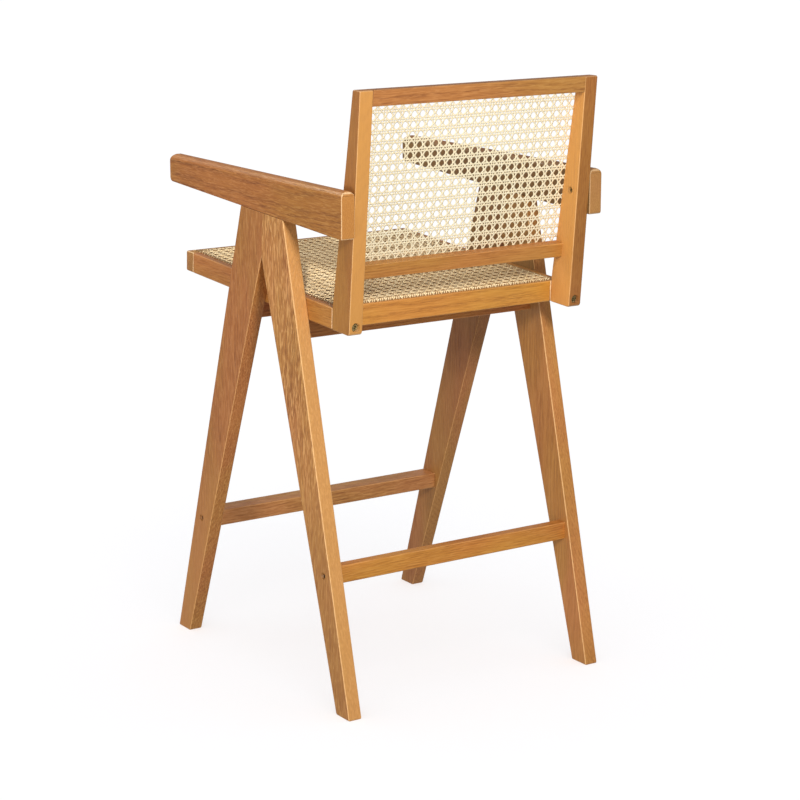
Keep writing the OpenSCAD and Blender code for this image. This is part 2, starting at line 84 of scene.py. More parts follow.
class Tree:
    """A node tree with short calls for the nodes that the materials use."""

    def __init__(self, name):
        self.material = bpy.data.materials.new(name)
        self.material.use_nodes = True
        self.tree = self.material.node_tree
        self.tree.nodes.clear()
        self.out = self.node("ShaderNodeOutputMaterial")

    def node(self, kind, **settings):
        n = self.tree.nodes.new(kind)
        for key, value in settings.items():
            setattr(n, key, value)
        return n

    def put(self, value, socket):
        if isinstance(value, bpy.types.NodeSocket):
            self.tree.links.new(value, socket)
        else:
            socket.default_value = value

    def math(self, operation, a, b=0.0, c=0.0, clamp=False):
        n = self.node("ShaderNodeMath", operation=operation, use_clamp=clamp)
        for value, socket in zip((a, b, c), n.inputs):
            self.put(value, socket)
        return n.outputs[0]

    def dot(self, v, w):
        n = self.node("ShaderNodeVectorMath", operation="DOT_PRODUCT")
        self.put(v, n.inputs[0])
        self.put(tuple(w), n.inputs[1])
        return n.outputs["Value"]

    def xyz(self, x, y, z):
        n = self.node("ShaderNodeCombineXYZ")
        for value, socket in zip((x, y, z), n.inputs):
            self.put(value, socket)
        return n.outputs[0]

    def noise(self, vector, scale, detail=2.0, rough=0.5, distortion=0.0):
        n = self.node("ShaderNodeTexNoise")
        self.put(vector, n.inputs["Vector"])
        n.inputs["Scale"].default_value = scale
        n.inputs["Detail"].default_value = detail
        n.inputs["Roughness"].default_value = rough
        n.inputs["Distortion"].default_value = distortion
        return n.outputs["Fac"]

    def smooth(self, value, low, high, to_low=0.0, to_high=1.0):
        n = self.node("ShaderNodeMapRange", interpolation_type="SMOOTHSTEP")
        self.put(value, n.inputs["Value"])
        for name, v in (("From Min", low), ("From Max", high), ("To Min", to_low), ("To Max", to_high)):
            n.inputs[name].default_value = v
        return n.outputs["Result"]

    def mix(self, factor, a, b, blend="MIX"):
        n = self.node("ShaderNodeMix", data_type="RGBA", blend_type=blend)
        self.put(factor, n.inputs["Factor"])
        self.put(a, n.inputs[6])
        self.put(b, n.inputs[7])
        return n.outputs[2]

    def ramp(self, factor, stops):
        n = self.node("ShaderNodeValToRGB")
        ramp = n.color_ramp
        while len(ramp.elements) < len(stops):
            ramp.elements.new(0.5)
        for element, (at, colour) in zip(ramp.elements, stops):
            element.position = at
            element.color = colour
        self.put(factor, n.inputs[0])
        return n.outputs["Color"]

    def bump(self, height, strength, distance):
        n = self.node("ShaderNodeBump")
        n.inputs["Strength"].default_value = strength
        n.inputs["Distance"].default_value = distance
        self.put(height, n.inputs["Height"])
        return n.outputs["Normal"]

    def finish(self, colour, roughness, normal=None, **constants):
        shader = self.node("ShaderNodeBsdfPrincipled")
        self.put(colour, shader.inputs["Base Color"])
        self.put(roughness, shader.inputs["Roughness"])
        if normal is not None:
            self.put(normal, shader.inputs["Normal"])
        for name, value in constants.items():
            shader.inputs[name.replace("_", " ")].default_value = value
        self.tree.links.new(shader.outputs[0], self.out.inputs["Surface"])
        return self.material


def rgb(r, g, b):
    return (r, g, b, 1.0)


# ------------------------------------------------------------------ wood

RING_SPACING = 3.8 * MM
RING_BEND = 50 * MM                       # how far slow waves in the trunk push the rings
RING_RIPPLE = 4 * MM
BOARD_STEP = 1.37                         # how far along the grain the next board's pattern lies
# The stain, from its pores to its palest. PALE_EDGE (also the pale strokes) and PALE_END are the pale of
# rounded edges and ends: partly sanded wear, partly painted highlight. SHADE is painted shade for faces out
# of the light
SHADE = (0.195, 0.132, 0.052)
DARK = (0.200, 0.068, 0.017)
MIDDLE = (0.415, 0.178, 0.046)
LIGHT = (0.590, 0.290, 0.088)
PALE_EDGE = (0.860, 0.520, 0.220)
PALE_END = (0.980, 0.700, 0.400)


def scaled(colour, tone):
    return rgb(*(min(1.0, c * t) for c, t in zip(colour, tone)))


def longest(node):
    """The direction of a node's longest extent, from its own vertices."""
    points = np.array([v.co for v in NODES[node].data.vertices])
    points = points - points.mean(0)
    return Vector(np.linalg.svd(points, full_matrices=False)[2][0])


# How far the middle of the tree was from the board, across it and through it
FLAT_SAWN = (0.01, 0.06)
RIFT_SAWN = (0.05, 0.05)
QUARTER_SAWN = (0.09, 0.01)


def wood(node, seed, across, tone, along=None, figure=0.25, streaks=0.15, pith=RIFT_SAWN,
         edges=0.3, ends=0.3, sides=()):
    """Stained open-grained wood for one board. along is its grain, or its own length where that isn't given,
    and across its wide direction. figure is how bold the growth rings are and streaks the short light and
    dark strokes. edges is how pale the rounded edges along the board are, and ends those round its ends; that
    paleness is partly sanded wear and partly painted highlight. sides lists (direction, colour, share),
    painted light and shade: faces that look that way have that share of that colour; two heights after it are
    where that begins and where it is whole."""
    t = Tree(node + "_wood")
    along = (along or longest(node)).normalized()
    through = along.cross(across).normalized()
    middle = sum(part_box(node), Vector()) / 2
    place = t.node("ShaderNodeTexCoord").outputs["Object"]
    g = t.math("ADD", t.dot(place, along), BOARD_STEP * seed)
    a = t.math("SUBTRACT", t.dot(place, across), middle @ across)
    b = t.math("SUBTRACT", t.dot(place, through), middle @ through)

    def grained(across_scale, along_scale, *noise):
        """Noise stretched along the grain, in features to the metre."""
        return t.noise(t.xyz(t.math("MULTIPLY", a, across_scale), t.math("MULTIPLY", b, across_scale),
                             t.math("MULTIPLY", g, along_scale)), 1.0, *noise)

    # Growth rings round the pith, bent by slow waves in the trunk
    wave = t.math("SUBTRACT", grained(5.0, 2.6, 2.0), 0.5)
    ripple = t.math("SUBTRACT", grained(60.0, 9.0, 3.0), 0.5)
    random = np.random.default_rng(seed)
    side_a, side_b = random.choice((-1, 1), 2)
    bend = t.math("MULTIPLY", wave, RING_BEND)
    da = t.math("ADD", t.math("SUBTRACT", a, float(side_a) * pith[0]), bend)
    db = t.math("SUBTRACT", b, float(side_b) * pith[1])
    radius = t.math("SQRT", t.math("ADD", t.math("MULTIPLY", da, da), t.math("MULTIPLY", db, db)))
    radius = t.math("ADD", radius, t.math("MULTIPLY", ripple, RING_RIPPLE))
    ring = t.math("FRACT", t.math("MULTIPLY", radius, 1 / RING_SPACING))
    ring = t.math("ABSOLUTE", t.math("SUBTRACT", ring, 0.5))
    ring = t.smooth(ring, 0.12, 0.44)

    # Fibres, open pores and short strokes run along the grain
    fibre = grained(620.0, 22.0, 3.0, 0.6)
    pore = grained(760.0, 60.0, 2.0, 0.5, 0.3)
    stroke = grained(400.0, 46.0, 1.5, 0.5, 1.0)
    patch = grained(16.0, 5.5, 3.0, 0.55)
    fibre_light = t.smooth(fibre, 0.35, 0.65)
    pore_dark = t.smooth(pore, 0.42, 0.60)
    stroke_light = t.smooth(stroke, 0.50, 0.64)
    stroke_dark = t.smooth(stroke, 0.50, 0.36)

    # 0 is dark stain, 1 pale wood
    shade = t.math("MULTIPLY_ADD", fibre_light, 0.22, 0.40)
    shade = t.math("ADD", shade, t.math("MULTIPLY", t.math("SUBTRACT", patch, 0.5), 0.50))
    shade = t.math("SUBTRACT", shade, t.math("MULTIPLY", t.math("MULTIPLY", ring, pore_dark), 0.50 * figure))
    shade = t.math("ADD", shade, t.math("MULTIPLY", t.math("SUBTRACT", 0.5, ring), 0.16 * figure))
    shade = t.math("ADD", shade, t.math("MULTIPLY", stroke_light, 0.30 * streaks))
    shade = t.math("SUBTRACT", shade, t.math("MULTIPLY", stroke_dark, 0.22 * streaks), clamp=True)
    colour = t.ramp(shade, [
        (0.0, scaled(DARK, tone)),
        (0.45, scaled(MIDDLE, tone)),
        (1.0, scaled(LIGHT, tone)),
    ])
    colour = t.mix(t.math("MULTIPLY", stroke_light, 0.38 * streaks), colour, rgb(*PALE_EDGE))
    # Redder and yellower patches
    warm = t.smooth(grained(11.0, 3.2, 2.0), 0.36, 0.64)
    colour = t.mix(1.0, colour, t.mix(warm, rgb(1.00, 0.90, 0.92), rgb(0.97, 1.00, 0.84)), "MULTIPLY")
    # Painted light and shade: faces turned the listed ways are mixed towards a paler or darker colour, for
    # how the lamps fall on them
    for direction, tint, share, *heights in sides:
        facing = t.dot(t.node("ShaderNodeNewGeometry").outputs["Normal"], direction)
        turned = t.smooth(facing, 0.2, 0.9, 0.0, share)
        if heights:
            turned = t.math("MULTIPLY", turned, t.smooth(t.dot(place, Z_AXIS), *heights))
        colour = t.mix(turned, colour, scaled(tint, tone))

    # Rounded edges are paler than the flats: partly sanded wear, partly a painted highlight where the lamps
    # catch the rounding
    normal = t.node("ShaderNodeNewGeometry").outputs["Normal"]
    wide_face = t.math("ABSOLUTE", t.dot(normal, across))
    face = t.math("MAXIMUM", wide_face, t.math("ABSOLUTE", t.dot(normal, through)))
    lengthwise = t.math("ABSOLUTE", t.dot(normal, along))
    face = t.math("MAXIMUM", face, lengthwise)
    at_end = t.smooth(lengthwise, 0.12, 0.40)
    edge = t.math("MULTIPLY", t.smooth(face, 0.74, 0.96, 1.0, 0.0), t.smooth(fibre, 0.30, 0.55, 0.45, 1.0))
    edge = t.math("MULTIPLY", edge, t.math("MULTIPLY_ADD", at_end, ends - edges, edges))
    colour = t.mix(edge, colour, t.mix(at_end, rgb(*PALE_EDGE), rgb(*PALE_END)))

    roughness = t.math("MULTIPLY_ADD", pore_dark, 0.16, 0.36)
    height = t.math("MULTIPLY_ADD", t.math("MULTIPLY", ring, pore_dark), -0.8, t.math("MULTIPLY", fibre, 0.5))
    return t.finish(colour, roughness, t.bump(height, 0.35, 0.0006), Specular_IOR_Level=0.38)


def dress(node, material):
    for slot in NODES[node].material_slots:
        slot.link = "OBJECT"
        slot.material = material


CROSSWISE = dict(along=X_AXIS, across=Z_AXIS)
FORE_AND_AFT = dict(along=Y_AXIS, across=Z_AXIS)
HIDDEN_RAIL = dict(CROSSWISE, tone=(1.35, 1.18, 1.05), figure=0.4, streaks=0.3)
# Painted shade on the far legs' inner faces, from just under the seat upwards, where the seat and the back's
# cane shade them
SHADED_TOP = (X_AXIS, SHADE, 0.65, 0.52, 0.64)
WOODS = {
    # Outer face painted paler towards the foot: painted light
    "left_front_leg": dict(
        across=Y_AXIS, tone=(0.95, 0.86, 0.80), figure=0.3, streaks=0.35, edges=0.5,
        sides=((X_AXIS, LIGHT, 0.60, 0.45, 0.10),)),
    # Rear face painted paler (painted light); outer face darker towards the foot
    "left_rear_leg": dict(
        across=Y_AXIS, tone=(1.12, 1.12, 1.10), figure=0.3, streaks=1.1, edges=0.95,
        sides=((Y_AXIS, LIGHT, 0.75), (X_AXIS, MIDDLE, 0.45, 0.50, 0.25), (X_AXIS, DARK, 0.22, 0.45, 0.15))),
    "right_front_leg": dict(
        across=Y_AXIS, tone=(0.95, 0.94, 1.1), edges=0.4, sides=(SHADED_TOP,)),
    "right_rear_leg": dict(
        across=Y_AXIS, tone=(1.22, 1.19, 1.24), pith=FLAT_SAWN, edges=1.0, sides=(SHADED_TOP,)),
    # Rear end face painted paler: painted light
    "left_armrest": dict(
        FORE_AND_AFT, tone=(0.91, 0.80, 0.61), figure=0.4, streaks=0.3, pith=FLAT_SAWN,
        edges=0.1, ends=0.75, sides=((Y_AXIS, LIGHT, 0.55),)),
    # Inner face in painted shade, top painted darker (painted shade), rear end face painted paler (painted
    # light)
    "right_armrest": dict(
        FORE_AND_AFT, tone=(0.85, 0.86, 0.90), figure=0.4, streaks=0.3, pith=FLAT_SAWN,
        edges=0.1, ends=0.5, sides=((X_AXIS, SHADE, 0.65), (Z_AXIS, DARK, 0.3), (Y_AXIS, LIGHT, 0.5))),
    "front_footrest": dict(
        along=X_AXIS, across=Y_AXIS, tone=(1.00, 1.03, 1.2), figure=0.35, streaks=0.3, edges=0.4, ends=0.4),
    "rear_stretcher": dict(
        CROSSWISE, tone=(1.30, 1.22, 0.84), streaks=0.20, pith=QUARTER_SAWN, ends=0.4),
    "front_cross_rail": HIDDEN_RAIL,
    "rear_cross_rail": HIDDEN_RAIL,
    "seat_front_rail": dict(
        CROSSWISE, tone=(0.95, 0.95, 1.1), figure=0.4, streaks=0.3, edges=0.4, ends=0.9),
    "seat_rear_rail": dict(
        CROSSWISE, tone=(1.36, 1.42, 0.98), figure=0.35, streaks=0.10, pith=FLAT_SAWN, ends=1.0),
    "seat_left_rail": dict(FORE_AND_AFT, tone=(1.08, 0.98, 0.84), edges=0.25, ends=1.0),
    "seat_right_rail": dict(FORE_AND_AFT, tone=(1.00, 0.98, 1.0), ends=1.0),
    # Rear face painted paler (painted light); outer face and top painted darker (painted shade)
    "left_back_stile": dict(
        across=Y_AXIS, tone=(1.06, 1.04, 0.87), pith=QUARTER_SAWN, edges=0.6, ends=0.4,
        sides=((Y_AXIS, LIGHT, 0.75), (X_AXIS, DARK, 0.25), (Z_AXIS, DARK, 0.45))),
    # Inner face painted paler (painted light); rear face and top painted darker (painted shade)
    "right_back_stile": dict(
        across=Y_AXIS, tone=(1.02, 0.99, 0.86), figure=0.3, edges=0.5,
        sides=((X_AXIS, LIGHT, 0.60), (Y_AXIS, DARK, 0.50), (Z_AXIS, DARK, 0.45))),
    # Top face painted darker: painted shade
    "back_top_rail": dict(
        CROSSWISE, tone=(1.0, 1.0, 1.0), figure=0.35, streaks=0.2, pith=FLAT_SAWN,
        sides=((Z_AXIS, DARK, 0.55),)),
    "back_lower_rail": dict(CROSSWISE, tone=(1.10, 1.09, 0.94), streaks=0.12),
}
FIRST_WOOD_SEED = 3
for number, (node, recipe) in enumerate(WOODS.items()):
    dress(node, wood(node, FIRST_WOOD_SEED + number, **recipe))


# ------------------------------------------------------------------ rounded edges

SHARP_ANGLE = 0.5                         # of an edge that is rounded, in radians
MARKED = 0.9                              # weight above which a point or edge counts as in a group


def edge_weights():
    """Geometry nodes that shade the wood smooth and give each sharp outline edge its share of the
    rounding: all of it, or tight_share where two pieces meet in a joint."""
    group = bpy.data.node_groups.new("edge_weights", "GeometryNodeTree")
    face = group.interface
    face.new_socket("Geometry", in_out="INPUT", socket_type="NodeSocketGeometry")
    face.new_socket("Grain", in_out="INPUT", socket_type="NodeSocketVector")
    face.new_socket("Tight share", in_out="INPUT", socket_type="NodeSocketFloat")
    face.new_socket("Geometry", in_out="OUTPUT", socket_type="NodeSocketGeometry")
    new, link = group.nodes.new, group.links.new
    source, out = new("NodeGroupInput"), new("NodeGroupOutput")

    def math_node(operation, a, b=None, kind="ShaderNodeMath", output=0):
        n = new(kind)
        n.operation = operation
        for value, socket in zip((a, b), n.inputs):
            if isinstance(value, bpy.types.NodeSocket):
                link(value, socket)
            elif value is not None:
                socket.default_value = value
        return n.outputs[output]

    def named(name):
        n = new("GeometryNodeInputNamedAttribute")
        n.data_type = "FLOAT"
        n.inputs["Name"].default_value = name
        return n.outputs["Attribute"]

    ends = new("GeometryNodeInputMeshEdgeVertices")
    vector_math = "ShaderNodeVectorMath"
    step = math_node("SUBTRACT", ends.outputs["Position 1"], ends.outputs["Position 2"], vector_math)
    step = math_node("NORMALIZE", step, None, vector_math)
    along = math_node("DOT_PRODUCT", step, source.outputs["Grain"], vector_math, "Value")
    is_long = math_node("GREATER_THAN", math_node("ABSOLUTE", along), 0.5)
    angle = new("GeometryNodeInputMeshEdgeAngle").outputs["Unsigned Angle"]
    sharp = math_node("GREATER_THAN", angle, SHARP_ANGLE)
    outline = math_node("GREATER_THAN", named("outline"), MARKED)
    loose = math_node("LESS_THAN", named("tight"), MARKED)
    free = math_node("MAXIMUM", is_long, loose)
    share = math_node("MAXIMUM", free, source.outputs["Tight share"])
    weight = math_node("MULTIPLY", math_node("MULTIPLY", sharp, outline), share)

    plain = new("GeometryNodeRemoveAttribute")
    link(source.outputs["Geometry"], plain.inputs["Geometry"])
    plain.inputs["Name"].default_value = "custom_normal"
    soft_edges = new("GeometryNodeSetShadeSmooth")
    soft_edges.domain = "EDGE"
    link(plain.outputs[0], soft_edges.inputs["Geometry"])
    soft = new("GeometryNodeSetShadeSmooth")
    link(soft_edges.outputs[0], soft.inputs["Geometry"])
    store = new("GeometryNodeStoreNamedAttribute")
    store.data_type, store.domain = "FLOAT", "EDGE"
    store.inputs["Name"].default_value = "bevel_weight_edge"
    link(soft.outputs[0], store.inputs["Geometry"])
    link(weight, store.inputs["Value"])
    link(store.outputs[0], out.inputs[0])
    return group


EDGE_WEIGHTS = edge_weights()


def keep_within():
    """Geometry nodes that hold every point between two corners and drop the used vertex groups."""
    group = bpy.data.node_groups.new("keep_within", "GeometryNodeTree")
    group.interface.new_socket("Geometry", in_out="INPUT", socket_type="NodeSocketGeometry")
    group.interface.new_socket("Low", in_out="INPUT", socket_type="NodeSocketVector")
    group.interface.new_socket("High", in_out="INPUT", socket_type="NodeSocketVector")
    group.interface.new_socket("Geometry", in_out="OUTPUT", socket_type="NodeSocketGeometry")
    new, link = group.nodes.new, group.links.new
    source, out = new("NodeGroupInput"), new("NodeGroupOutput")
    place = new("GeometryNodeInputPosition").outputs[0]
    for operation, corner in (("MAXIMUM", "Low"), ("MINIMUM", "High")):
        n = new("ShaderNodeVectorMath")
        n.operation = operation
        link(place, n.inputs[0])
        link(source.outputs[corner], n.inputs[1])
        place = n.outputs[0]
    move = new("GeometryNodeSetPosition")
    link(source.outputs["Geometry"], move.inputs["Geometry"])
    link(place, move.inputs["Position"])
    shape = move.outputs[0]
    for used in ("outline", "tight"):
        plain = new("GeometryNodeRemoveAttribute")
        plain.inputs["Name"].default_value = used
        link(shape, plain.inputs["Geometry"])
        shape = plain.outputs[0]
    link(shape, out.inputs[0])
    return group


KEEP_WITHIN = keep_within()


def settings(modifier, group, **values):
    """Sets a modifier's node group and the inputs of it that values names."""
    modifier.node_group = group
    for item in group.interface.items_tree:
        key = item.name.replace(" ", "_").lower()
        if key in values:
            modifier[item.identifier] = values[key]


HULL_DIRECTIONS, AT_ONCE = 6000, 500
ROUND_SEGMENTS = 3
END_REACH = 2 * MM
SEAM_Z = 0.70                             # points above this lie where a side's two legs are joined
GRID = 1e5                                # points that round to the same place at this scale are one


def hull_corners(points):
    """Which points lie on the convex hull, found from support in many directions."""
    random = np.random.default_rng(7)
    centred = points - points.mean(0)
    on = np.zeros(len(points), bool)
    size = np.ptp(points, axis=0)
    directions = random.normal(size=(HULL_DIRECTIONS, 3)) / np.maximum(size, 1e-4)
    for start in range(0, HULL_DIRECTIONS, AT_ONCE):
        reach = centred @ directions[start:start + AT_ONCE].T
        on |= (reach >= reach.max(0) - 1e-9).any(1)
    placed = np.round(points * GRID).astype(int)
    keys = {tuple(p) for p in placed[on]}
    return np.array([tuple(p) in keys for p in placed])


def round_edges(node, width, grain=(0, 0, 0), tight=None, tight_share=0.0):
    """Modifiers that round a board's outer edges. tight says which points lie in a joint; edges
    between two of those that don't run along the grain get only tight_share of the width."""
    obj = NODES[node]
    points = np.array([v.co for v in obj.data.vertices])
    outline = obj.vertex_groups.new(name="outline")
    outline.add([int(i) for i in np.flatnonzero(hull_corners(points))], 1.0, "REPLACE")
    joint = obj.vertex_groups.new(name="tight")
    if tight is not None:
        joint.add([int(i) for i in np.flatnonzero(tight(points))], 1.0, "REPLACE")
    weld = obj.modifiers.new("weld", "WELD")
    weld.merge_threshold = 1e-5
    flat = obj.modifiers.new("flat", "DECIMATE")
    flat.decimate_type = "DISSOLVE"
    flat.angle_limit = math.radians(1)
    weights = obj.modifiers.new("weights", "NODES")
    settings(weights, EDGE_WEIGHTS, grain=tuple(grain), tight_share=tight_share)
    bevel = obj.modifiers.new("round", "BEVEL")
    bevel.width = width
    bevel.segments = ROUND_SEGMENTS
    bevel.limit_method = "WEIGHT"
    bevel.use_clamp_overlap = False
    bevel.loop_slide = False
    bevel.miter_outer = "MITER_SHARP"
    within = obj.modifiers.new("within", "NODES")
    settings(within, KEEP_WITHIN, low=tuple(points.min(0)), high=tuple(points.max(0)))
    normals = obj.modifiers.new("normals", "WEIGHTED_NORMAL")
    normals.weight = 100
    normals.keep_sharp = False


def at_ends(points):
    """Which points lie at the left or the right end of a crosswise board."""
    x = points[:, 0]
    return (x < x.min() + END_REACH) | (x > x.max() - END_REACH)


for node in ("left_front_leg", "left_rear_leg", "right_front_leg", "right_rear_leg"):
    round_edges(node, 2.4 * MM, tight=lambda p: p[:, 2] > SEAM_Z, tight_share=0.12)
for node in ("left_armrest", "right_armrest"):
    round_edges(node, 2.2 * MM)
for node in ("front_footrest", "rear_stretcher", "front_cross_rail", "rear_cross_rail"):
    round_edges(node, 2.2 * MM, X_AXIS, at_ends, 0.15)
for node in ("seat_front_rail", "seat_rear_rail", "seat_left_rail", "seat_right_rail"):
    round_edges(node, 2.7 * MM)
for node in ("left_back_stile", "right_back_stile"):
    round_edges(node, 2.0 * MM)
for node in ("back_top_rail", "back_lower_rail"):
    round_edges(node, 1.8 * MM, X_AXIS, at_ends, 0.2)

# ------------------------------------------------------------------ woven cane

PITCH = np.array((15.3, 16.6)) * MM       # from hole to hole, across and along the webbing
PAIR = 2.05 * MM                          # a strand of a pair from the middle of the pair
STRAND = 2.32 * MM
DIAGONAL = 2.45 * MM
THICK = 0.58 * MM
RINGS = 10                                # rings of points on a strand in each pitch
SWAY, SWAY_POINTS = 0.10 * MM, 7          # how far a strand strays from its line, at how many points
SPREAD, SPREAD_POINTS = 0.03, 9           # how much its width varies, likewise
# A strand's section, in shares of its width and thickness
PROFILE = np.array([(-0.5, -0.15), (-0.33, 0.38), (0.0, 0.5), (0.33, 0.38), (0.5, -0.15), (0.0, -0.45)])

# The way of a strand over the groove's edge, down it, under the spline and up its outer wall:
# how far out, how far up
GROOVE_WAY = np.array([(0, 0), (0.30, -0.10), (0.45, -0.60), (0.45, -5.6), (0.9, -6.1),
                       (4.3, -6.1), (4.70, -5.6), (4.75, 0.9), (4.55, 1.9)]) * MM
GROOVE_AT = np.concatenate([[0], np.cumsum(np.linalg.norm(np.diff(GROOVE_WAY, axis=0), axis=1))])
WALL_AT, TUCKED = float(GROOVE_AT[6]), float(GROOVE_AT[-1])
TURN_STEP = 0.2 * MM                      # either side of a point, for the way the strand turns there
FLATTENED = 0.35                          # how much of its height a strand keeps in the groove


def along_groove(e):
    """How far out and how far up GROOVE_WAY is after that length of strand."""
    return np.interp(e, GROOVE_AT, GROOVE_WAY[:, 0]), np.interp(e, GROOVE_AT, GROOVE_WAY[:, 1])


def over_edge(beyond, height):
    """How far out and how far up a point goes that is that far beyond the panel's edge."""
    e = np.clip(beyond, 0, TUCKED)
    out, up = along_groove(e)
    before, after = along_groove(e - TURN_STEP), along_groove(e + TURN_STEP)
    run, rise = after[0] - before[0], after[1] - before[1]
    long = np.maximum(np.hypot(run, rise), 1e-9)
    run, rise = run / long, rise / long
    thin = np.where(beyond > 1 * MM, FLATTENED, 1.0)
    flat = beyond <= 0
    return (np.where(flat, beyond, out - height * thin * rise),
            np.where(flat, height, up + height * thin * run))


def slab_of(node):
    """Middle, half width, half length and the directions across, along and off a flat panel."""
    points = np.unique(np.round([v.co for v in NODES[node].data.vertices], 6), axis=0)
    # v runs to the rear, and upwards in a panel that stands
    rank = points[:, 1] + points[:, 2] * 0.3
    low, high = points[rank < np.median(rank)], points[rank >= np.median(rank)]
    v = high.mean(0) - low.mean(0)
    v = v / np.linalg.norm(v)
    u = np.array((1.0, 0, 0))
    return points.mean(0), np.ptp(points[:, 0]) / 2, np.ptp(points @ v) / 2, u, v, np.cross(u, v)


MOST_LINES, MOST_SLANTS = 40, 70          # tried on each side of a panel's middle
SHORTEST_SLANT = 0.6                      # in pitches, of a strand across a corner


class Panel:
    """A flat cane panel woven strand by strand. u runs across it, v along it and n off the face that
    its groove is cut in. row_phase is where a row of holes lies along v. tail is how much longer the
    trimmed ends stand than GROOVE_WAY says, rear_tail the same at +v."""

    def __init__(self, name, node, row_phase, seed, tail, rear_tail):
        self.name, self.node = name, node
        self.tail, self.rear_tail = tail, rear_tail
        self.middle, self.half_u, self.half_v, self.u, self.v, self.n = slab_of(node)
        self.phase = row_phase
        self.random = np.random.default_rng(seed)

    def varied(self, share, spread, points):
        """A random amount all along a strand, drawn at that many points of it."""
        return np.interp(share, np.linspace(0, 1, points), self.random.normal(0, spread, points))

    def strand(self, start, end, width, heights):
        """Rings of one strand between two points of the flat panel; heights gives its rise."""
        start, end = np.array(start), np.array(end)
        length = np.linalg.norm(end - start)
        count = int(max(4, round(length / (PITCH[1] / RINGS))))
        share = np.linspace(0, 1, count + 1)
        centre = start + (end - start) * share[:, None]
        way = (end - start) / length
        side = np.array((-way[1], way[0]))
        sway = self.varied(share, SWAY, SWAY_POINTS)
        wide = width * (1 + self.varied(share, SPREAD, SPREAD_POINTS))
        lateral = sway[:, None] + wide[:, None] * PROFILE[:, 0]
        flat = centre[:, None, :] + lateral[:, :, None] * side
        height = heights(centre)[:, None] + THICK * PROFILE[:, 1]
        return np.concatenate([flat, height[:, :, None]], 2)

    def place(self, rings):
        """Rings of the flat panel where they are on the stool, their ends folded into the groove."""
        u, v, h = rings[..., 0], rings[..., 1], rings[..., 2]
        beyond_u, beyond_v = np.abs(u) - self.half_u, np.abs(v) - self.half_v
        use_u = beyond_u > beyond_v
        out, up = over_edge(np.where(use_u, beyond_u, beyond_v), h)
        wall = np.clip((np.maximum(beyond_u, beyond_v) - WALL_AT) / (TUCKED - WALL_AT), 0, 1)
        up = up + wall * np.where(~use_u & (v > 0), self.rear_tail, self.tail)
        fold_u, fold_v = use_u & (beyond_u > 0), ~use_u & (beyond_v > 0)
        up = np.where(fold_u | fold_v, up, h)
        u = np.where(fold_u, np.sign(u) * (self.half_u + out), u)
        v = np.where(fold_v, np.sign(v) * (self.half_v + out), v)
        return self.middle + u[..., None] * self.u + v[..., None] * self.v + up[..., None] * self.n

    def piece(self, name, strands, material):
        """One mesh of strands, each closed at both ends and with a tint of its own."""
        corners, quads, caps, tint = [], [], [], []
        base, sides = 0, len(PROFILE)
        k = np.arange(sides)
        for rings in strands:
            placed = self.place(rings).reshape(-1, 3)
            corners.append(placed)
            tint.append(np.full(len(placed), self.random.random()))
            ring = np.arange(len(rings) - 1)[:, None] * sides + base
            near, far = ring + k, ring + (k + 1) % sides
            quads.append(np.stack([near, far, far + sides, near + sides], -1).reshape(-1, 4))
            last = base + len(placed) - sides
            caps += [(base + k)[::-1].tolist(), (last + k).tolist()]
            base += len(placed)
        mesh = bpy.data.meshes.new(name)
        mesh.from_pydata(np.concatenate(corners).tolist(), [], np.concatenate(quads).tolist() + caps)
        mesh.attributes.new("strand", "FLOAT", "POINT").data.foreach_set("value", np.concatenate(tint))
        mesh.polygons.foreach_set("use_smooth", np.ones(len(mesh.polygons), bool))
        mesh.materials.append(material)
        obj = bpy.data.objects.new(name, mesh)
        scene.collection.objects.link(obj)
        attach(obj, "root")
        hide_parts(self.node)

    def lines(self, axis):
        """The middles of the pairs across an axis that lie on the panel, counted from the holes."""
        half = (self.half_u, self.half_v)[axis]
        phase = (0.0, self.phase)[axis]
        at = phase + (np.arange(-MOST_LINES, MOST_LINES + 1) + 0.5) * PITCH[axis]
        return [float(a) for a in at if abs(a) + PAIR + STRAND / 2 < half]

    def straight(self, axis):
        """The strands that run in pairs, side by side across an axis."""
        other = 1 - axis
        half = (self.half_u, self.half_v)[other] + TUCKED
        phase = (0.0, self.phase)[other]
        strands = []
        for middle in self.lines(axis):
            for which in (0, 1):
                sign = (1 if which else -1) * (1 if axis else -1)

                def heights(centre, sign=sign):
                    # Over one strand of each pair that it crosses and under the other
                    place = (centre[:, other] - phase) / PITCH[other] - 0.5
                    off = (place - np.round(place)) * PITCH[other]
                    wave = np.interp(off, np.array((-5, -1, 0, 1, 5)) * PAIR, (0, -1, 0, 1, 0))
                    return sign * wave * THICK / 2

                ends = np.zeros((2, 2))
                ends[:, axis] = middle + (-PAIR, PAIR)[which]
                ends[:, other] = -half, half
                strands.append(self.strand(*ends, STRAND, heights))
        return strands

    def slanted(self, lean):
        """The single strands that run from hole to hole, rising or falling with u."""
        reach = np.array((self.half_u, self.half_v))
        way = np.array((PITCH[0], lean * PITCH[1]))

        def heights(centre):
            # Over the upright pairs and under the crosswise ones, or the other way about
            return -lean * np.cos(2 * np.pi * centre[:, 0] / PITCH[0]) * THICK

        strands = []
        for k in range(-MOST_SLANTS, MOST_SLANTS + 1):
            # u / pitch_u - lean * (v - phase) / pitch_v = k + 1/2
            through = np.array(((k + 0.5) * PITCH[0], self.phase))
            low, high = np.sort([(-reach - through) / way, (reach - through) / way], axis=0)
            start, end = low.max(), high.min()
            if end - start < SHORTEST_SLANT:
                continue
            # The tucked ends go on over whichever edge they meet
            start -= TUCKED / abs(way[np.argmax(low)])
            end += TUCKED / abs(way[np.argmin(high)])
            strands.append(self.strand(through + way * start, through + way * end, DIAGONAL, heights))
        return strands

